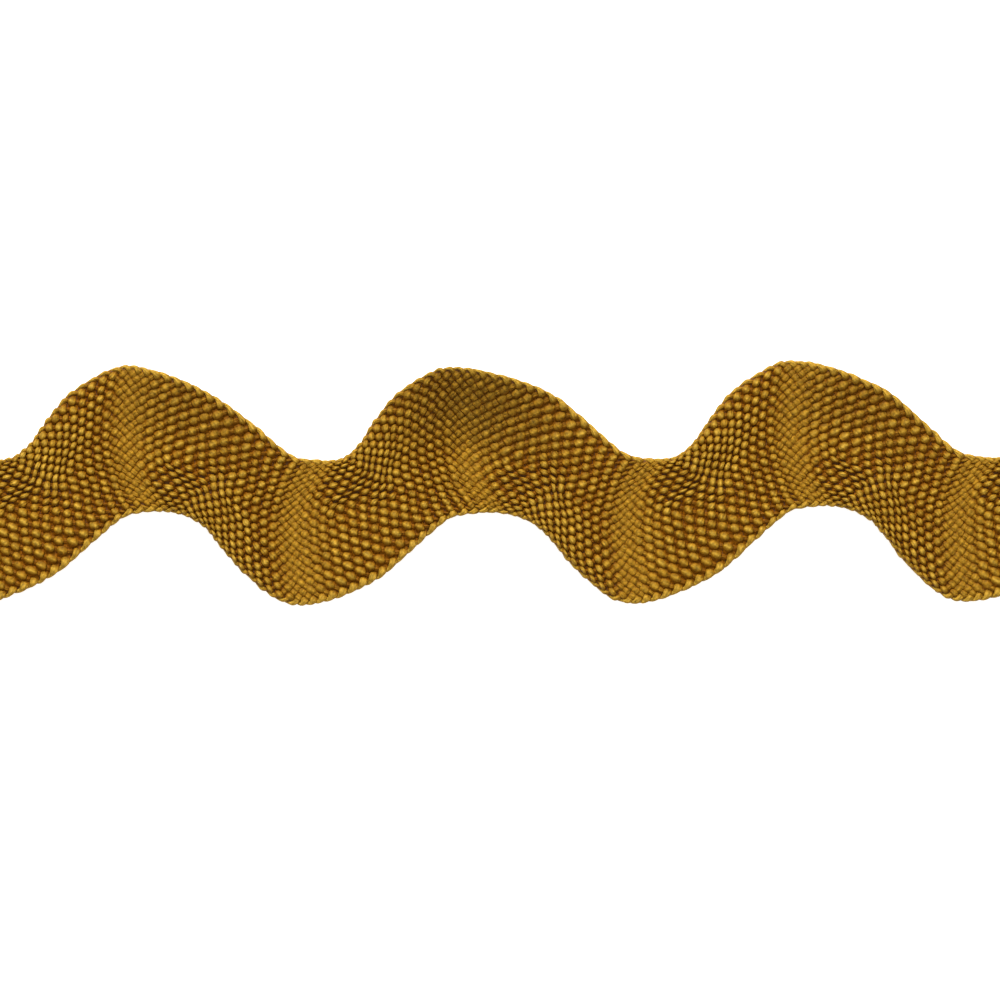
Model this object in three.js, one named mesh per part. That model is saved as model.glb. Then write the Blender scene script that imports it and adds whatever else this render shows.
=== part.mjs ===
// Cut length of jumbo ric rac: a flat braid that waves from side to side, lying face up.
// Millimetres. +X runs along the braid, +Y across it and +Z is up.
// The origin is under the middle of the part's box, on the surface that it lies on.
import * as THREE from 'three';

// Driving sizes of the braid
const WAVE_LENGTH = 51.4;
const THICKNESS = 2;
const EDGE_ROUNDING = 0.8;
const EDGE_HEIGHTS = [0.3 * THICKNESS, 0.7 * THICKNESS];

// A place along the braid is counted in strand crossings, 70 to a wave
const CROSSINGS_PER_WAVE = 70;
const FIRST_CROSSING = -34;
const LAST_CROSSING = 192;
const CROSSINGS_PER_STEP = 2;

// Points across each section between its two rounded edges
const POINTS_ACROSS = 12;

// One wave: a row for each section across the braid, with its ends on the upper and the
// lower edge. x is counted from the wave's crest and y from the middle of the braid.
const SECTIONS = [
  { at: 0, upper: { x: -3.3, y: 18.1 }, lower: { x: -0.9, y: -4.8 } },
  { at: 4, upper: { x: -0.1, y: 18.7 }, lower: { x: 2.8, y: -4.0 } },
  { at: 10, upper: { x: 4.2, y: 17.8 }, lower: { x: 7.1, y: -4.2 } },
  { at: 16, upper: { x: 9.3, y: 15.9 }, lower: { x: 11.3, y: -6.2 } },
  { at: 22, upper: { x: 14.1, y: 13.3 }, lower: { x: 13.9, y: -9.4 } },
  { at: 28, upper: { x: 19.0, y: 9.6 }, lower: { x: 17.3, y: -13.3 } },
  { at: 35, upper: { x: 24.8, y: 4.8 }, lower: { x: 22.4, y: -17.5 } },
  { at: 39, upper: { x: 28.5, y: 4.0 }, lower: { x: 25.6, y: -18.5 } },
  { at: 45, upper: { x: 32.6, y: 4.1 }, lower: { x: 29.9, y: -18.1 } },
  { at: 51, upper: { x: 35.7, y: 6.5 }, lower: { x: 35.0, y: -16.3 } },
  { at: 57, upper: { x: 38.3, y: 10.2 }, lower: { x: 39.8, y: -13.8 } },
  { at: 63, upper: { x: 42.0, y: 14.5 }, lower: { x: 44.9, y: -9.4 } },
];

// How far the crests, the troughs and two of the slopes between them lie from an even wave
const BENDS = [
  { at: -30, shiftX: 0, shiftY: 0 },
  { at: 40, shiftX: 0, shiftY: 0 },
  { at: 75, shiftX: -1.5, shiftY: -0.3 },
  { at: 92, shiftX: -0.2, shiftY: 0.9 },
  { at: 110, shiftX: 0, shiftY: 0.2 },
  { at: 145, shiftX: -0.2, shiftY: 0.8 },
  { at: 162, shiftX: 0.1, shiftY: 1.3 },
  { at: 180, shiftX: -0.2, shiftY: 0.5 },
];

// Where the upper edge curls up past each crest, on its way down to the next trough: how
// high it gets there, and the share of the braid's width that lifts
const CURLS = [
  { start: -6, end: 38, height: 2, share: 0.45 },
  { start: 52, end: 104, height: 4.5, share: 0.55 },
  { start: 134, end: 177, height: 2, share: 0.45 },
];
const CURL_POWER = 1.5;

// Value at one place of a smooth curve through a table's rows (Catmull-Rom)
function smooth(places, values, place) {
  const last = places.length - 1;
  let i = 0;
  while (i < last - 1 && place >= places[i + 1]) i += 1;
  const slope = (k) => {
    const a = Math.max(k - 1, 0);
    const b = Math.min(k + 1, last);
    return (values[b] - values[a]) / (places[b] - places[a]);
  };
  const span = places[i + 1] - places[i];
  const s = (place - places[i]) / span;
  const rise = s * s * (3 - 2 * s);
  return values[i] * (1 - rise) + values[i + 1] * rise
    + span * s * (1 - s) * ((1 - s) * slope(i) - s * slope(i + 1));
}

// Value between the rows of a table along straight lines, level beyond its ends
function between(places, values, place) {
  if (place <= places[0]) return values[0];
  const next = places.findIndex((p) => p >= place);
  if (next < 0) return values[values.length - 1];
  const s = (place - places[next - 1]) / (places[next] - places[next - 1]);
  return values[next - 1] * (1 - s) + values[next] * s;
}

// Every section from one wave before the first to one wave after the last
function listSections() {
  const bendPlaces = BENDS.map((bend) => bend.at);
  const firstWave = Math.floor(FIRST_CROSSING / CROSSINGS_PER_WAVE) - 1;
  const lastWave = Math.ceil(LAST_CROSSING / CROSSINGS_PER_WAVE) + 1;
  const sections = [];
  for (let wave = firstWave; wave <= lastWave; wave += 1) {
    for (const row of SECTIONS) {
      const at = row.at + wave * CROSSINGS_PER_WAVE;
      const moveX = wave * WAVE_LENGTH + between(bendPlaces, BENDS.map((bend) => bend.shiftX), at);
      const moveY = between(bendPlaces, BENDS.map((bend) => bend.shiftY), at);
      sections.push({
        at,
        upper: new THREE.Vector2(row.upper.x + moveX, row.upper.y + moveY),
        lower: new THREE.Vector2(row.lower.x + moveX, row.lower.y + moveY),
      });
    }
  }
  return sections;
}

// A function that gives the point of one edge at any crossing
function edgeCurve(sections, edge) {
  const places = sections.map((section) => section.at);
  const xs = sections.map((section) => section[edge].x);
  const ys = sections.map((section) => section[edge].y);
  return (at) => new THREE.Vector2(smooth(places, xs, at), smooth(places, ys, at));
}

// Height of the underside: level, but for the curls, which steepen towards the upper edge
function lift(at, across) {
  let height = 0;
  for (const curl of CURLS) {
    const along = (at - curl.start) / (curl.end - curl.start);
    const inward = Math.max(0, (across - 1 + curl.share) / curl.share);
    if (along > 0 && along < 1) {
      height += curl.height * Math.sin(Math.PI * along) ** 2 * inward ** CURL_POWER;
    }
  }
  return height;
}

// One section's closed ring: the underside from the lower to the upper edge, the upper
// edge, the face back again and the lower edge
function sectionRing(at, lower, upper) {
  const width = lower.distanceTo(upper);
  const point = (distance, height) => {
    const across = distance / width;
    const plan = lower.clone().lerp(upper, across);
    return new THREE.Vector3(plan.x, plan.y, lift(at, across) + height);
  };
  const distances = [];
  for (let k = 0; k < POINTS_ACROSS; k += 1) {
    const share = k / (POINTS_ACROSS - 1);
    distances.push(EDGE_ROUNDING + share * (width - 2 * EDGE_ROUNDING));
  }
  const under = distances.map((distance) => point(distance, 0));
  const face = distances.map((distance) => point(distance, THICKNESS)).reverse();
  const upperEdge = EDGE_HEIGHTS.map((height) => point(width, height));
  const lowerEdge = EDGE_HEIGHTS.map((height) => point(0, height)).reverse();
  return [...under, ...upperEdge, ...face, ...lowerEdge];
}

// The braid's closed skin from its rings
function braidGeometry() {
  const sections = listSections();
  const upperEdge = edgeCurve(sections, 'upper');
  const lowerEdge = edgeCurve(sections, 'lower');
  const rings = [];
  for (let at = FIRST_CROSSING; at <= LAST_CROSSING; at += CROSSINGS_PER_STEP) {
    rings.push(sectionRing(at, lowerEdge(at), upperEdge(at)));
  }
  const size = rings[0].length;
  const positions = rings.flat().flatMap((p) => [p.x, p.y, p.z]);
  const index = [];
  for (let r = 0; r < rings.length - 1; r += 1) {
    for (let k = 0; k < size; k += 1) {
      const a = r * size + k;
      const b = r * size + ((k + 1) % size);
      index.push(a, b, b + size, a, b + size, a + size);
    }
  }
  addCap(index, 0, size, false);
  addCap(index, (rings.length - 1) * size, size, true);
  const geometry = new THREE.BufferGeometry();
  geometry.setAttribute('position', new THREE.Float32BufferAttribute(positions, 3));
  geometry.setIndex(index);
  geometry.computeBoundingBox();
  const box = geometry.boundingBox;
  geometry.translate(-(box.min.x + box.max.x) / 2, -(box.min.y + box.max.y) / 2, -box.min.z);
  geometry.computeVertexNormals();
  return geometry;
}

// A cut end: two triangles between each pair of neighbours on the underside and the face
function addCap(index, start, size, facesForward) {
  for (let k = 0; k < size / 2 - 1; k += 1) {
    const under = start + ((k + size - 1) % size);
    const nextUnder = start + k;
    const face = start + size - 2 - k;
    const nextFace = start + size - 3 - k;
    if (facesForward) index.push(under, nextUnder, nextFace, under, nextFace, face);
    else index.push(under, nextFace, nextUnder, under, face, nextFace);
  }
}

const part = new THREE.Group();
const yarn = new THREE.MeshStandardMaterial({ color: 0x8a5f1a, roughness: 0.75, metalness: 0 });
const ricRac = new THREE.Mesh(braidGeometry(), yarn);
ricRac.name = 'ric_rac';
part.add(ricRac);

export default part;
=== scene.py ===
"""A cut length of jumbo ric rac, braided strand by strand, lying face up and seen from above."""
import math
from types import SimpleNamespace

import bpy
import numpy as np
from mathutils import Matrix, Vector


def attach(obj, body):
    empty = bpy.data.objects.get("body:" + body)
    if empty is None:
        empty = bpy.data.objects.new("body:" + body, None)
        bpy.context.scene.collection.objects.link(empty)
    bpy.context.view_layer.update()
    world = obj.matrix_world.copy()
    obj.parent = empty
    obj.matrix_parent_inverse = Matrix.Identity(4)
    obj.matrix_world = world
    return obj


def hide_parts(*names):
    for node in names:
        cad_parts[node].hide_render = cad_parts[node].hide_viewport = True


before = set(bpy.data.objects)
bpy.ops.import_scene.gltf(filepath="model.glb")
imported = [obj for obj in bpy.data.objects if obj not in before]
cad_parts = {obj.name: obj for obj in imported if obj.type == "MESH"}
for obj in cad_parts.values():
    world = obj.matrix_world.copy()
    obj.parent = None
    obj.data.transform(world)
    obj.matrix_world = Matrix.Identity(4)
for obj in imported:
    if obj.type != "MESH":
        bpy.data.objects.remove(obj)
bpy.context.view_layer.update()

MM = 0.001

# The braid. A place along it is counted in crossings, t, and a place across it in strands, x,
# from the lower edge. Half of the strands climb one crossing and the others sink one at a time.
STRANDS = 35
PER_WAVE = 2 * STRANDS
WAVE_LENGTH = 51.4
FIRST, LAST = -34, 192

# One wave, in millimetres: each row is the line across the braid at one t, and its x and y
# run over the stations from the upper edge to the lower one.
STATIONS = (35, 29.5, 23.5, 17.5, 11.5, 5.5, 0)
SECTIONS = (
    {"t": 0, "x": (-3.3, -4.0, -4.5, -4.4, -3.5, -2.3, -0.9),
     "y": (18.1, 14.1, 9.3, 4.9, 1.1, -2.3, -4.8)},
    {"t": 4, "x": (-0.1, -0.9, -1.6, -1.7, -0.8, 0.9, 2.8),
     "y": (18.7, 14.8, 10.3, 5.9, 1.9, -1.6, -4.0)},
    {"t": 10, "x": (4.2, 3.5, 3.0, 2.8, 3.6, 5.8, 7.1),
     "y": (17.8, 13.9, 9.5, 5.4, 1.1, -2.2, -4.2)},
    {"t": 16, "x": (9.3, 8.3, 7.7, 7.2, 9.1, 10.2, 11.3),
     "y": (15.9, 11.9, 7.6, 3.1, -0.2, -3.7, -6.2)},
    {"t": 22, "x": (14.1, 13.0, 12.6, 12.7, 13.3, 13.6, 13.9),
     "y": (13.3, 9.1, 4.6, 0.9, -3.1, -6.8, -9.4)},
    {"t": 28, "x": (19.0, 17.8, 17.3, 16.3, 16.8, 16.9, 17.3),
     "y": (9.6, 5.6, 1.5, -2.5, -6.5, -10.6, -13.3)},
    {"t": 35, "x": (24.8, 23.4, 22.2, 21.3, 21.2, 21.7, 22.4),
     "y": (4.8, 2.3, -1.1, -4.9, -9.3, -14.1, -17.5)},
    {"t": 39, "x": (28.5, 26.6, 24.9, 24.0, 24.1, 24.8, 25.6),
     "y": (4.0, 1.6, -1.9, -5.9, -10.3, -14.8, -18.5)},
    {"t": 45, "x": (32.6, 31.5, 29.3, 28.5, 28.7, 29.2, 29.9),
     "y": (4.1, 2.2, -1.1, -5.4, -9.5, -13.9, -18.1)},
    {"t": 51, "x": (35.7, 35.9, 34.8, 32.9, 33.4, 34.0, 35.0),
     "y": (6.5, 3.7, 0.2, -3.1, -7.6, -11.9, -16.3)},
    {"t": 57, "x": (38.3, 39.3, 39.0, 38.4, 38.3, 38.7, 39.8),
     "y": (10.2, 6.8, 3.1, -0.9, -4.6, -9.1, -13.8)},
    {"t": 63, "x": (42.0, 42.6, 42.5, 42.0, 43.0, 43.5, 44.9),
     "y": (14.5, 10.6, 6.5, 2.5, -1.5, -5.6, -9.4)},
)

# How far the crests, the troughs and two slopes lie from an even wave, in millimetres
BENDS = (
    {"t": -30, "x": 0, "y": 0},
    {"t": 40, "x": 0, "y": 0},
    {"t": 75, "x": -1.5, "y": -0.3},
    {"t": 92, "x": -0.2, "y": 0.9},
    {"t": 110, "x": 0, "y": 0.2},
    {"t": 145, "x": -0.2, "y": 0.8},
    {"t": 162, "x": 0.1, "y": 1.3},
    {"t": 180, "x": -0.2, "y": 0.5},
)
OUTLINE_STEP = 2

# Where the upper edge curls up past each crest, how high it gets there in millimetres, and
# the share of the braid's width that lifts. A curl also draws its strands flat: fully at the
# flattening height, from that share of the lifting part out to the upper edge.
CURLS = (
    {"start": -6, "end": 38, "height": 2, "share": 0.45},
    {"start": 52, "end": 104, "height": 4.5, "share": 0.55},
    {"start": 134, "end": 177, "height": 2, "share": 0.45},
)
CURL_POWER = 1.5
FLATTENING_HEIGHT = 4.5
FLATTENING_SHARE = 0.5

# The t of the first crest's middle line, and how far the lines of the crests and troughs after
# it are from an even spacing
APEX = 4.5
APEX_SHIFTS = (
    {"t": 40, "shift": 0},
    {"t": 62, "shift": 3},
    {"t": 92, "shift": 3},
    {"t": 108, "shift": 0},
)

# On each slope the strands are uneven, loose over tight, and the braid counts as steep. Both
# come and go over these stretches, in crossings past the crest or trough. A curl takes a share
# of the steepness and the looseness away, and a wedge adds steepness.
UNEVEN_RISE, UNEVEN_FALL = (0, 5), (31, STRANDS)
STEEP_RISE, STEEP_FALL = (1, 12), (29, STRANDS)
CURL_STEEPNESS_LOSS = 0.7
CURL_LOOSENESS_LOSS = 0.4
WEDGE_STEEPNESS = 0.85

# Beside each crest and trough, on its hollow side, is a wedge where the loose floats lie
# flatter along the braid, and next to the wedge a row where they stand up. Both are placed by
# the crossings past the crest or trough and the strands from the hollow edge.
WEDGE_TOP = {"start": 9.9, "slope": 0.7, "fade": 1.5}
WEDGE_SIDE = {"start": -7.1, "slope": 1.42, "fade": 1}
WEDGE_RISE = (2, 6)
ROW_DISTANCE = 2
ROW_REACH = 1.8
ROW_RISE, ROW_FALL = (7, 11), (20, 25)
FLAT_TURN = math.radians(20)
UPRIGHT_TURN = math.radians(30)
TURNED_LOOSENESS = (0, 0.5)

# Height of the braid's middle, how far a strand rises above it, and the yarn's thickness, in
# millimetres. At crests and troughs the weave has only a share of its height. Loose floats rise
# more than tight ones by the contrast, and the slope's contrast adds to the crest's.
MIDDLE_HEIGHT = 1.22
RISE = 0.41
YARN_HEIGHT = 0.86
CREST_FLATNESS = 0.55
CREST_CONTRAST = 0.15
SLOPE_CONTRAST = 0.45

# The powers that shape a strand's rise and dip: below 1 its floats are broad, above 1 domed.
# Loose floats on a slope are domed where they have much room, in millimetres. The squeeze is
# how much thinner a strand is where it passes from one face to the other.
TIGHT_ROUNDNESS = 1.0
LOOSE_ROUNDNESS = 0.75
DOMED_ROUNDNESS = 2.4
DOMED_ROOM = (0.6, 0.85)
TIGHT_SQUEEZE = 0.25
LOOSE_SQUEEZE = 0.36

# Width of a strand on its floats and between them, in shares of its room between its
# neighbours. Room above the usual one counts for more than its size, and room below it for
# less. Floats are narrower on the approach to the next crest or trough, over a stretch in
# crossings. The usual room and the range are in millimetres.
USUAL_ROOM = 0.95
FILL_POWER = 1.1
EVEN_WIDTH = 1.32
CREST_WIDENING = 0.55
SLOPE_WIDENING = 0.5
TIGHT_NARROWING = 0.72
WEDGE_NARROWING = 0.45
APPROACH_NARROWING = 0.16
APPROACH_RISE = (20, 28)
CREST_GROOVE = 1.05
SLOPE_GROOVE = 0.72
CREST_WIDTH_ROUNDNESS = 0.3
SLOPE_WIDTH_ROUNDNESS = 0.4
WEDGE_POINTING = 0.25
WIDTH_RANGE = (0.45, 1.95)

# The turns at the edges: their roundness and offset in strands and their width in millimetres.
# Each fades out over its reach, in strands, and the bulge lies a little past the turn.
EDGE_RADIUS = 1.2
EDGE_RADIUS_REACH = 2
EDGE_OFFSET = 0.72
EDGE_OFFSET_REACH = 1.6
EDGE_REACH = 1.2
EDGE_WIDTH = 0.52
EDGE_BULGE = 0.18
EDGE_BULGE_PLACE = 0.4
EDGE_BULGE_REACH = 0.6
CURL_EDGE_NARROWING = 0.3

# How uneven the yarn and the braiding are: shares of width, height and lift, millimetres of
# place, and steps of tone along a strand and from strand to strand
WIDTH_NOISE = 0.07
HEIGHT_NOISE = 0.05
LIFT_NOISE = 0.07
PLACE_NOISE = 0.05
TONE_NOISE = 0.8
STRAND_TONE_NOISE = 0.35

# Where the lowest and highest points of a crest, and the turns at the edges, lie in the yarn's
# colours with their painted groove shade (the turns near the top, a painted highlight on the rims),
# and how many steps of tone darker, as painted shade, a hollow is where it is drawn fully flat
CREST_LOW_TONE = 0.33
CREST_HIGH_TONE = 0.87
EDGE_HIGHLIGHT_TONE = 0.97
HOLLOW_SHADE = 8.0

# How far to each side of a place the lattice is measured, in crossings or strands
NUDGE = 0.25

# Steps of a strand's tube to each crossing, its sides, and how the strands are shared out
STEPS = 5
SIDES = 10
STRANDS_A_PIECE = 7
RANDOM_SEED = 5

# The imported inside: its distance from the edges in strands, its thickness in millimetres, how
# many cells it has across, and its look, the yarn's colour dark with painted shade
GROUND_INSET = 0.55
GROUND_THICKNESS = 0.3
GROUND_CELLS = 24
GROUND_COLOURS = ((0.06, 0.019, 0.0006), (0.14, 0.048, 0.0015))
GROUND_ROUGHNESS = 0.9
GROUND_NOISE_SCALE = 900

# The yarn's look: its colours from the bottom of the grooves to the top of the floats, with painted
# shade that makes them darker and redder down the grooves and a touch of painted light at the very
# bottom; how many plies show around it and over how many millimetres one repeats, its fibres, the
# weights of tone with the painted hollow shade and of fibres in the colour, and the bump's depth in
# millimetres
YARN_COLOURS_AND_GROOVE_SHADE = (
    {"rise": 0.0, "colour": (0.15, 0.047, 0.001)},
    {"rise": 0.52, "colour": (0.098, 0.036, 0.001)},
    {"rise": 0.8, "colour": (0.168, 0.084, 0.005)},
    {"rise": 1.0, "colour": (0.262, 0.155, 0.018)},
)
YARN_ROUGHNESS = 0.6
YARN_SPECULAR = 0.06
PLIES = 7
PLY_LENGTH = 2.5
PLY_BUMP = 0.14
FIBRES_AROUND = 6
FIBRES_ALONG = 1.5
FIBRE_SCALE = 1.6
FIBRE_DETAIL = 3
TONE_SHADE = 0.055
FIBRE_SHADE = 3.2
SHADE_OFFSET = -0.1
BUMP_DISTANCE = 0.17

# The floor, in metres. It gives off a little light, as a white photo table does.
FLOOR_HALF = 3.0
FLOOR_GREY = 0.92
FLOOR_ROUGHNESS = 0.9
FLOOR_EMISSION = 0.55

# The photograph's frame in the plane, in millimetres, and a long lens
FRAME_WIDTH = 154.5
FRAME_MIDDLE = (57.0, -2.2)
LENS = 200
SENSOR = 36
CLIP_START, CLIP_END = 0.01, 20

# Soft studio light: places and sizes in metres, power in watts
LIGHTS = (
    {"name": "key", "place": (-0.15, 0.9, 0.6), "size": 0.5, "power": 20},
    {"name": "fill", "place": (0.5, -0.3, 1.0), "size": 0.9, "power": 1.5},
)
WORLD_STRENGTH = 0.75


def neighbours(places):
    """For each row of a table, the rows before and after it, or itself at the ends."""
    rows = np.arange(len(places))
    return np.maximum(rows - 1, 0), np.minimum(rows + 1, len(places) - 1)


def find_rows(places, place):
    """For each place, its row of a table, the span to the next row and the share of it passed."""
    i = np.clip(np.searchsorted(places, place, side="right") - 1, 0, len(places) - 2)
    span = places[i + 1] - places[i]
    return i, span, (place - places[i]) / span


def ease(low, high, low_slope, high_slope, span, share):
    """The value at one share of the span between two rows that have these slopes."""
    rise = share * share * (3 - 2 * share)
    return (low * (1 - rise) + high * rise
            + span * share * (1 - share) * ((1 - share) * low_slope - share * high_slope))


def smooth(places, values, place):
    """Values at each place of a smooth curve through the rows of a table (Catmull-Rom)."""
    before, after = neighbours(places)
    slope = (values[after] - values[before]) / (places[after] - places[before])[:, None, None]
    i, span, share = find_rows(places, place)
    span, share = span[:, None, None], share[:, None, None]
    return ease(values[i], values[i + 1], slope[i], slope[i + 1], span, share)


def smoothstep(low, high, value):
    """A smooth rise from 0 at low to 1 at high."""
    share = np.clip((value - low) / (high - low), 0, 1)
    return share * share * (3 - 2 * share)


def plateau(rise, fall, value):
    """1 between two stretches, over which it rises from 0 and falls back to it."""
    return smoothstep(*rise, value) * (1 - smoothstep(*fall, value))


def bell(distance, reach):
    """1 at no distance, and close to 0 past twice the reach."""
    return np.exp(-(distance / reach) ** 2)


def blend(low, high, share):
    """From low, at a share of 0, to high, at 1."""
    return low + (high - low) * share


def list_sections():
    """The t of every section, and its points from the lower to the upper edge.

    The sections go on for a wave or two past both ends.
    """
    bends = {key: [bend[key] for bend in BENDS] for key in ("t", "x", "y")}
    first_wave = FIRST // PER_WAVE - 1
    last_wave = LAST // PER_WAVE + 2
    places, rows = [], []
    for wave in range(first_wave, last_wave + 1):
        for section in SECTIONS:
            t = section["t"] + wave * PER_WAVE
            x = np.add(section["x"], wave * WAVE_LENGTH + np.interp(t, bends["t"], bends["x"]))
            y = np.add(section["y"], np.interp(t, bends["t"], bends["y"]))
            places.append(t)
            rows.append(np.column_stack([x, y])[::-1])
    return np.array(places, float), np.array(rows)


SECTION_PLACES, SECTION_POINTS = list_sections()
STATION_PLACES = np.array(STATIONS[::-1], float)


def lay_out(t, x):
    """The point in the plane, in millimetres, of each place (t, x) of the braid."""
    lines = smooth(SECTION_PLACES, SECTION_POINTS, t)
    before, after = neighbours(STATION_PLACES)
    width = (STATION_PLACES[after] - STATION_PLACES[before])[:, None]
    slope = (lines[:, after] - lines[:, before]) / width
    i, span, share = find_rows(STATION_PLACES, x)
    n = np.arange(len(x))
    return ease(lines[n, i], lines[n, i + 1], slope[n, i], slope[n, i + 1],
                span[:, None], share[:, None])


def curl(t, x):
    """How high the braid is lifted where its upper edge curls up, and how far it is drawn flat."""
    height, drawn = np.zeros_like(t), np.zeros_like(t)
    for place in CURLS:
        along = np.clip((t - place["start"]) / (place["end"] - place["start"]), 0, 1)
        amount = place["height"] * np.sin(np.pi * along) ** 2
        inward = np.maximum(0, x / STRANDS - 1 + place["share"]) / place["share"]
        height += amount * inward ** CURL_POWER
        drawn += amount / FLATTENING_HEIGHT * smoothstep(0, FLATTENING_SHARE, inward)
    return height, drawn


def swirl(past, hollow):
    """How far each place lies in the wedge beside a crest or trough, and in the row next to it."""
    top, side = WEDGE_TOP, WEDGE_SIDE
    below_top = top["start"] + top["slope"] * past - hollow
    inside = hollow - side["start"] - side["slope"] * past
    wedge = smoothstep(-top["fade"], top["fade"], below_top)
    wedge = wedge * smoothstep(-side["fade"], side["fade"], inside) * smoothstep(*WEDGE_RISE, past)
    row = bell(inside + ROW_DISTANCE, ROW_REACH)
    row = row * smoothstep(*ROW_RISE, past) * (1 - smoothstep(*ROW_FALL, past))
    return wedge, row


def box_middle():
    """The middle of the outline's box, which is the origin of the frame, and the outline.

    The outline is the points of the lower edge and then those of the upper one.
    """
    t = np.arange(FIRST, LAST + 1, OUTLINE_STEP, dtype=float)
    edges = np.vstack([lay_out(t, np.full_like(t, x)) for x in (0, STRANDS)])
    return (edges.min(0) + edges.max(0)) / 2, edges


MIDDLE, EDGES = box_middle()


def to_frame(plane, height):
    """Points in metres in the frame, from the plane and the height in millimetres."""
    return np.column_stack([plane - MIDDLE, height]) * MM


def mesh_object(name, points, faces, material, uvs=None, values=None):
    """A smooth-shaded mesh object. uvs has a row for each corner, values a number for each point."""
    mesh = bpy.data.meshes.new(name)
    mesh.from_pydata(points.tolist(), [], faces)
    mesh.polygons.foreach_set("use_smooth", np.ones(len(mesh.polygons), bool))
    for key, numbers in (values or {}).items():
        layer = mesh.attributes.new(key, "FLOAT", "POINT")
        layer.data.foreach_set("value", numbers.astype(np.float32))
    if uvs is not None:
        mesh.uv_layers.new(name="yarn").data.foreach_set("uv", uvs.ravel().astype(np.float32))
    mesh.materials.append(material)
    obj = bpy.data.objects.new(name, mesh)
    bpy.context.scene.collection.objects.link(obj)
    return obj


def slow_noise(rng, length, spread):
    """A smooth random curve with one knot at each crossing."""
    knots = rng.normal(0, spread, length // STEPS + 2)
    return np.interp(np.arange(length) / STEPS, np.arange(len(knots)), knots)


def strand_route(number):
    """Where one strand runs at each step, and how far it floats over or under the others."""
    strand = SimpleNamespace(t=np.linspace(FIRST, LAST, (LAST - FIRST) * STEPS + 1))
    phase = (strand.t - 2 * number) % PER_WAVE
    strand.sinking = phase >= STRANDS
    since_edge = phase % STRANDS
    to_edge = np.minimum(since_edge, STRANDS - since_edge)
    strand.since_edge, strand.to_edge = since_edge, to_edge
    strand.edge = bell(to_edge, EDGE_REACH)

    # Place across the braid, with a rounded turn at each edge
    inward = np.sqrt(to_edge ** 2 + EDGE_RADIUS ** 2 * bell(to_edge, EDGE_RADIUS_REACH))
    inward -= EDGE_OFFSET * bell(to_edge, EDGE_OFFSET_REACH)
    at_lower = np.where(strand.sinking, since_edge > STRANDS / 2, since_edge < STRANDS / 2)
    strand.x = np.where(at_lower, inward, STRANDS - inward)

    # Over and under: 1 where the strand floats on the face, -1 on the back, 0 at the edges
    over = -np.cos(np.pi * since_edge)
    over = np.where(since_edge < 1, np.sin(np.pi * since_edge / 2), over)
    strand.over = np.where(since_edge > STRANDS - 1, -np.sin(np.pi * to_edge / 2), over)
    return strand


def add_looseness(strand):
    """How loose the strand is at each step, from -1, tight, to 1, and how steep the braid.

    Loose strands bulge over tight ones: the climbing strands are loose on the way up to a
    crest, the sinking ones on the way down. Past each crest and trough both lie even at first.
    """
    shift_places = [row["t"] for row in APEX_SHIFTS]
    shift = np.interp(strand.t, shift_places, [row["shift"] for row in APEX_SHIFTS])
    past = strand.t - APEX - shift
    downhill = np.where(past // STRANDS % 2 == 0, 1.0, -1.0)
    past %= STRANDS
    strand.past = past
    strand.lifted, strand.drawn = curl(strand.t, strand.x)
    strand.wedge, strand.row = swirl(past, np.where(downhill > 0, strand.x, STRANDS - strand.x))

    turning = np.where(strand.to_edge < 1, np.sin(np.pi * strand.to_edge / 2), 1)
    strand.family = np.where(strand.sinking, 1.0, -1.0) * turning
    uneven = plateau(UNEVEN_RISE, UNEVEN_FALL, past)
    uneven += (1 - uneven) * strand.wedge
    steep = plateau(STEEP_RISE, STEEP_FALL, past) * (1 - CURL_STEEPNESS_LOSS * strand.drawn)
    steep += WEDGE_STEEPNESS * (1 - steep) * strand.wedge
    strand.steep = steep
    strand.loose = strand.family * downhill * uneven * (1 - CURL_LOOSENESS_LOSS * strand.drawn)
    strand.looseness = (1 + strand.loose) / 2
    strand.flatness = blend(CREST_FLATNESS, 1, steep)


def add_room(strand):
    """The strand's own direction, and the room between it and its neighbours, from the lattice."""
    t, x = strand.t, strand.x
    along = (lay_out(t + NUDGE, x) - lay_out(t - NUDGE, x)) / (2 * NUDGE)
    across = (lay_out(t, x + NUDGE) - lay_out(t, x - NUDGE)) / (2 * NUDGE)
    strand.own = along + np.where(strand.sinking, -1.0, 1.0)[:, None] * across
    cell = np.abs(along[:, 0] * across[:, 1] - along[:, 1] * across[:, 0])
    strand.room = 2 * cell / np.linalg.norm(strand.own, axis=1)


def strand_width(strand, rng):
    """Width in millimetres at each step, on the floats, between them and at the edges' turns."""
    steep, wedge = strand.steep, strand.wedge
    widening = blend(CREST_WIDENING, SLOPE_WIDENING, steep) - WEDGE_NARROWING * wedge
    change = np.where(strand.loose > 0, widening, TIGHT_NARROWING)
    float_width = EVEN_WIDTH + change * strand.loose
    float_width *= 1 - APPROACH_NARROWING * smoothstep(*APPROACH_RISE, strand.past)
    groove_width = blend(CREST_GROOVE, SLOPE_GROOVE, steep)
    roundness = blend(CREST_WIDTH_ROUNDNESS, SLOPE_WIDTH_ROUNDNESS, steep) + WEDGE_POINTING * wedge
    fill = USUAL_ROOM * (strand.room / USUAL_ROOM) ** FILL_POWER
    width = fill * blend(groove_width, float_width, np.abs(strand.over) ** roundness)
    width = np.clip(width, *WIDTH_RANGE)

    since_edge = strand.since_edge
    past_turn = np.where(since_edge < STRANDS / 2, since_edge, since_edge - STRANDS)
    bulge = bell(past_turn - EDGE_BULGE_PLACE, EDGE_BULGE_REACH)
    loop_width = EDGE_WIDTH + EDGE_BULGE * bulge
    loop_width = loop_width * (1 - CURL_EDGE_NARROWING * strand.drawn)
    width = width * (1 - strand.edge) + loop_width * strand.edge
    return width * (1 + slow_noise(rng, len(width), WIDTH_NOISE))


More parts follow.
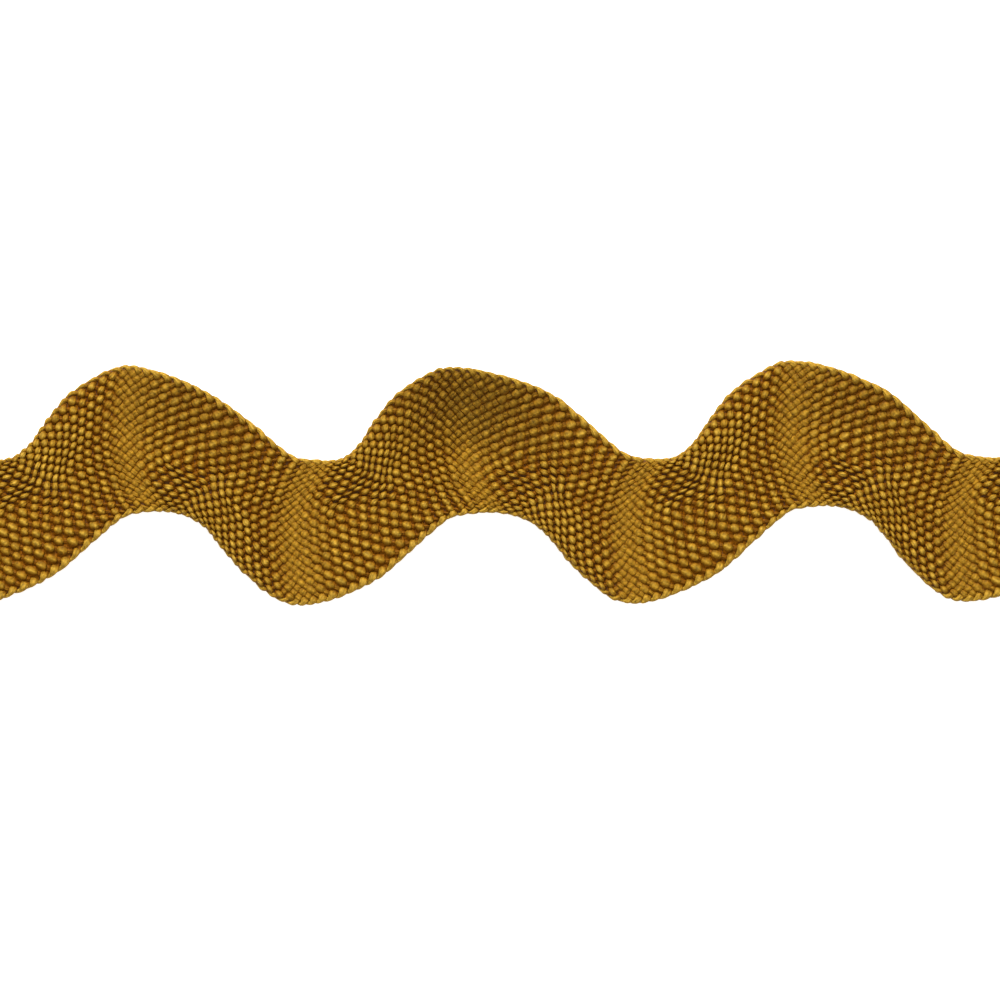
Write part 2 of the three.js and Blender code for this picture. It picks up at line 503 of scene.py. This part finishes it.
def strand_height(strand, full_height, rng):
    """Thickness in millimetres at each step, less where the strand passes between the faces."""
    squeeze = (LOOSE_SQUEEZE - TIGHT_SQUEEZE) * strand.looseness * strand.steep
    squeeze = TIGHT_SQUEEZE + squeeze
    height = full_height * (1 - squeeze * (1 - np.abs(strand.over)) * (1 - strand.edge))
    return height * (1 + slow_noise(rng, len(height), HEIGHT_NOISE))


def strand_plane(strand, rng):
    """The strand's middle line in the plane, with its floats turned in the wedges and rows."""
    turn = strand.family * (FLAT_TURN * strand.wedge - UPRIGHT_TURN * strand.row)
    turn = turn * smoothstep(*TURNED_LOOSENESS, strand.loose)
    sway = -np.tan(turn) * np.sin(np.pi * strand.since_edge) / np.pi
    sideways = np.column_stack([-strand.own[:, 1], strand.own[:, 0]])
    plane = lay_out(strand.t, strand.x) + sideways * sway[:, None]
    count = len(plane)
    noise = [slow_noise(rng, count, PLACE_NOISE), slow_noise(rng, count, PLACE_NOISE)]
    return plane + np.column_stack(noise)


def shape_strand(number, rng):
    """One strand with all that its tube needs: middle line, width, height, tone and looks."""
    strand = strand_route(number)
    add_looseness(strand)
    add_room(strand)
    full_height = YARN_HEIGHT * strand.flatness ** 0.5
    strand.width = strand_width(strand, rng)
    strand.height = strand_height(strand, full_height, rng)

    contrast = CREST_CONTRAST + SLOPE_CONTRAST * strand.steep
    domed = blend(LOOSE_ROUNDNESS, DOMED_ROUNDNESS, smoothstep(*DOMED_ROOM, strand.room))
    roundness = TIGHT_ROUNDNESS + (domed - TIGHT_ROUNDNESS) * strand.looseness * strand.steep
    lift = RISE * strand.flatness * (1 + contrast * strand.loose)
    lift = lift * np.sign(strand.over) * np.abs(strand.over) ** roundness
    strand.lift = lift * (1 + slow_noise(rng, len(lift), LIFT_NOISE))
    strand.summit = RISE * strand.flatness * (1 + contrast) + full_height / 2

    plane = strand_plane(strand, rng)
    strand.centre = np.column_stack([plane, MIDDLE_HEIGHT + strand.lifted + strand.lift])
    tone = slow_noise(rng, len(lift), TONE_NOISE) + rng.normal(0, STRAND_TONE_NOISE)
    # Painted shade in the hollows that the curls draw flat, kept off the edges' turns
    strand.tone = tone - HOLLOW_SHADE * strand.drawn * (1 - strand.edge)
    return strand


def strand_tube(strand):
    """Points, faces, corner uvs, end faces and point values of one strand, in the frame.

    u runs once around the strand, and v is the distance along it in millimetres.
    """
    tangent = np.gradient(strand.centre, axis=0)
    tangent /= np.linalg.norm(tangent, axis=1)[:, None]
    side = np.cross([0, 0, 1], tangent)
    side /= np.linalg.norm(side, axis=1)[:, None]
    up = np.cross(tangent, side)
    turn = 2 * np.pi * np.arange(SIDES) / SIDES
    out = (side[:, None] * (strand.width / 2)[:, None, None] * np.cos(turn)[None, :, None]
           + up[:, None] * (strand.height / 2)[:, None, None] * np.sin(turn)[None, :, None])
    points = (strand.centre[:, None] + out).reshape(-1, 3)

    # How far each point is from the braid's middle: 0 in the grooves, 1 on the highest floats.
    # It picks the painted groove shade from the yarn's colours, and spans less on the flat crests
    flat = (1 - strand.steep)[:, None]
    rise = np.abs(strand.lift[:, None] + out[:, :, 2]) / strand.summit[:, None]
    rise = blend(CREST_LOW_TONE * flat, 1 - (1 - CREST_HIGH_TONE) * flat, rise)
    # The edges' turns are kept out of the painted groove shade and get a painted highlight
    rise += (EDGE_HIGHLIGHT_TONE - rise) * strand.edge[:, None]

    rings = len(strand.centre)
    ring, k = np.meshgrid(np.arange(rings - 1), np.arange(SIDES), indexing="ij")
    nxt = (k + 1) % SIDES
    quads = np.stack([ring * SIDES + k, ring * SIDES + nxt, (ring + 1) * SIDES + nxt,
                      (ring + 1) * SIDES + k], axis=-1).reshape(-1, 4)
    steps = np.linalg.norm(np.diff(strand.centre, axis=0), axis=1)
    travelled = np.concatenate([[0], np.cumsum(steps)])
    u0, u1 = k / SIDES, (k + 1) / SIDES
    v0, v1 = travelled[ring], travelled[ring + 1]
    uvs = np.stack([u0, v0, u1, v0, u1, v1, u0, v1], axis=-1).reshape(-1, 2)
    ends = [list(range(SIDES))[::-1], list(range((rings - 1) * SIDES, rings * SIDES))]
    values = {"rise": rise.ravel(), "tone": np.repeat(strand.tone, SIDES)}
    return to_frame(points[:, :2], points[:, 2]), quads, uvs, ends, values


def braid_piece(name, numbers, material):
    """One object of several strands."""
    points, faces, uvs, end_faces, end_uvs = [], [], [], [], []
    values = {"rise": [], "tone": []}
    count = 0
    for number in numbers:
        rng = np.random.default_rng(RANDOM_SEED + number)
        strand = shape_strand(number, rng)
        strand_points, quads, corner_uvs, ends, point_values = strand_tube(strand)
        points.append(strand_points)
        faces.extend((quads + count).tolist())
        uvs.append(corner_uvs)
        for end in ends:
            end_faces.append([i + count for i in end])
            end_uvs.append(np.zeros((SIDES, 2)))
        for key in values:
            values[key].append(point_values[key])
        count += len(strand_points)
    joined = {key: np.concatenate(parts) for key, parts in values.items()}
    return mesh_object(name, np.vstack(points), faces + end_faces, material,
                       np.vstack(uvs + end_uvs), joined)


def ground_piece(name, material):
    """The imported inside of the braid: a thin closed sheet between the strands' two faces."""
    t = np.arange(FIRST + 1, LAST, 1.0)
    x = np.linspace(GROUND_INSET, STRANDS - GROUND_INSET, GROUND_CELLS + 1)
    tt, xx = np.meshgrid(t, x, indexing="ij")
    plane = lay_out(tt.ravel(), xx.ravel())
    middle = MIDDLE_HEIGHT + curl(tt.ravel(), xx.ravel())[0]
    half = GROUND_THICKNESS / 2
    points = np.vstack([to_frame(plane, middle + half), to_frame(plane, middle - half)])
    rows, columns = len(t), len(x)
    index = np.arange(rows * columns).reshape(rows, columns)
    low = index + rows * columns
    faces = []
    for r in range(rows - 1):
        for c in range(columns - 1):
            faces.append([index[r, c], index[r + 1, c], index[r + 1, c + 1], index[r, c + 1]])
            faces.append([low[r, c], low[r, c + 1], low[r + 1, c + 1], low[r + 1, c]])
    rim = np.concatenate([index[:, 0], index[-1, 1:], index[-2::-1, -1], index[0, -2:0:-1]])
    for a, b in zip(rim, np.roll(rim, -1)):
        faces.append([b, a, a + rows * columns, b + rows * columns])
    faces = [[int(i) for i in face] for face in faces]
    return mesh_object(name, points, faces, material)


def new_material(name):
    """A new material, and its nodes and links."""
    material = bpy.data.materials.new(name)
    material.use_nodes = True
    return material, material.node_tree.nodes, material.node_tree.links


def set_inputs(node, values):
    """Set a node's inputs by name."""
    for name, value in values.items():
        node.inputs[name].default_value = value


def math_node(nodes, links, operation, first, second=0):
    """The output of a math node. Each input is a number or another node's output."""
    node = nodes.new("ShaderNodeMath")
    node.operation = operation
    for socket, value in zip(node.inputs, (first, second)):
        if isinstance(value, (int, float)):
            socket.default_value = value
        else:
            links.new(value, socket)
    return node.outputs[0]


def read_attribute(nodes, name):
    """The output of a node that reads one of the mesh's point values."""
    node = nodes.new("ShaderNodeAttribute")
    node.attribute_name = name
    return node.outputs["Fac"]


def yarn_material():
    """Soft plied yarn with twist and fibres, with painted shade: darker towards the grooves and
    redder in them, and darker in the curls' hollows.
    """
    material, nodes, links = new_material("gold_yarn")

    def calculate(operation, first, second=0):
        return math_node(nodes, links, operation, first, second)

    shader = nodes["Principled BSDF"]
    set_inputs(shader, {"Roughness": YARN_ROUGHNESS, "Specular IOR Level": YARN_SPECULAR})
    rise = read_attribute(nodes, "rise")
    tone = read_attribute(nodes, "tone")
    # The yarn's colour with its painted groove shade, by how high each point rises
    ramp = nodes.new("ShaderNodeValToRGB")
    stops = ramp.color_ramp.elements
    for k, row in enumerate(YARN_COLOURS_AND_GROOVE_SHADE):
        stop = stops[k] if k < 2 else stops.new(row["rise"])
        stop.position = row["rise"]
        stop.color = (*row["colour"], 1)
    links.new(rise, ramp.inputs[0])

    coordinates = nodes.new("ShaderNodeUVMap")
    coordinates.uv_map = "yarn"
    split = nodes.new("ShaderNodeSeparateXYZ")
    links.new(coordinates.outputs[0], split.inputs[0])
    around, along = split.outputs[0], split.outputs[1]
    ply_angle = calculate("ADD", calculate("MULTIPLY", around, PLIES * 2 * math.pi),
                          calculate("MULTIPLY", along, 2 * math.pi / PLY_LENGTH))
    ply = calculate("SINE", ply_angle)
    stretched = nodes.new("ShaderNodeCombineXYZ")
    links.new(calculate("MULTIPLY", around, FIBRES_AROUND), stretched.inputs[0])
    links.new(calculate("MULTIPLY", along, FIBRES_ALONG), stretched.inputs[1])
    noise = nodes.new("ShaderNodeTexNoise")
    set_inputs(noise, {"Scale": FIBRE_SCALE, "Detail": FIBRE_DETAIL})
    links.new(stretched.outputs[0], noise.inputs["Vector"])
    fibre = noise.outputs["Fac"]

    shade = calculate("ADD", calculate("MULTIPLY", tone, TONE_SHADE),
                      calculate("MULTIPLY", fibre, FIBRE_SHADE))
    shade = calculate("ADD", shade, SHADE_OFFSET)
    mix = nodes.new("ShaderNodeMix")
    mix.data_type = "RGBA"
    mix.blend_type = "MULTIPLY"
    mix.inputs["Factor"].default_value = 1
    links.new(ramp.outputs[0], mix.inputs["A"])
    links.new(shade, mix.inputs["B"])
    links.new(mix.outputs["Result"], shader.inputs["Base Color"])

    bump = nodes.new("ShaderNodeBump")
    set_inputs(bump, {"Strength": 1, "Distance": BUMP_DISTANCE * MM})
    height = calculate("ADD", calculate("MULTIPLY", ply, PLY_BUMP), fibre)
    links.new(height, bump.inputs["Height"])
    links.new(bump.outputs[0], shader.inputs["Normal"])
    return material


def ground_material():
    """The same yarn where hardly any light reaches it."""
    material, nodes, links = new_material("shaded_yarn")
    shader = nodes["Principled BSDF"]
    shader.inputs["Roughness"].default_value = GROUND_ROUGHNESS
    noise = nodes.new("ShaderNodeTexNoise")
    noise.inputs["Scale"].default_value = GROUND_NOISE_SCALE
    ramp = nodes.new("ShaderNodeValToRGB")
    for stop, colour in zip(ramp.color_ramp.elements, GROUND_COLOURS):
        stop.color = (*colour, 1)
    links.new(noise.outputs["Fac"], ramp.inputs[0])
    links.new(ramp.outputs[0], shader.inputs["Base Color"])
    return material


def floor_material():
    """A white photo table."""
    material, nodes, _ = new_material("pale_floor")
    set_inputs(nodes["Principled BSDF"], {
        "Base Color": (FLOOR_GREY, FLOOR_GREY, FLOOR_GREY, 1),
        "Roughness": FLOOR_ROUGHNESS,
        "Emission Color": (1, 1, 1, 1),
        "Emission Strength": FLOOR_EMISSION,
    })
    return material


def add_floor():
    size = FLOOR_HALF
    corners = np.array([[-size, -size, 0], [size, -size, 0], [size, size, 0], [-size, size, 0]])
    floor = mesh_object("floor", corners, [[0, 1, 2, 3]], floor_material())


def add_camera():
    """Square above the braid, with the photograph's frame."""
    data = bpy.data.cameras.new("camera")
    data.lens = LENS
    data.sensor_width = SENSOR
    data.clip_start = CLIP_START
    data.clip_end = CLIP_END
    camera = bpy.data.objects.new("camera", data)
    bpy.context.scene.collection.objects.link(camera)
    x, y = (np.array(FRAME_MIDDLE) - MIDDLE) * MM
    camera.location = (x, y, FRAME_WIDTH * MM * LENS / SENSOR + MIDDLE_HEIGHT * MM)
    bpy.context.scene.camera = camera


def add_light(name, place, size, power):
    """A square area light that faces the braid's middle."""
    data = bpy.data.lights.new(name, "AREA")
    data.size = size
    data.energy = power
    light = bpy.data.objects.new(name, data)
    light.location = place
    light.rotation_euler = (-Vector(place)).to_track_quat("-Z", "Y").to_euler()
    bpy.context.scene.collection.objects.link(light)


def add_lights():
    for light in LIGHTS:
        add_light(**light)
    world = bpy.data.worlds.new("studio")
    world.use_nodes = True
    background = world.node_tree.nodes["Background"]
    set_inputs(background, {"Color": (1, 1, 1, 1), "Strength": WORLD_STRENGTH})
    bpy.context.scene.world = world
    bpy.context.scene.view_settings.view_transform = "Standard"


def build_braid():
    """The strands in pieces and the ground between their faces, in place of the imported braid."""
    yarn = yarn_material()
    pieces = []
    for start in range(0, STRANDS, STRANDS_A_PIECE):
        numbers = range(start, start + STRANDS_A_PIECE)
        pieces.append(braid_piece(f"strands_{start // STRANDS_A_PIECE + 1}", numbers, yarn))
    ground = ground_piece("braid_ground", ground_material())
    for piece in pieces + [ground]:
        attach(piece, "root")
        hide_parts("ric_rac")


add_floor()
add_camera()
add_lights()
build_braid()
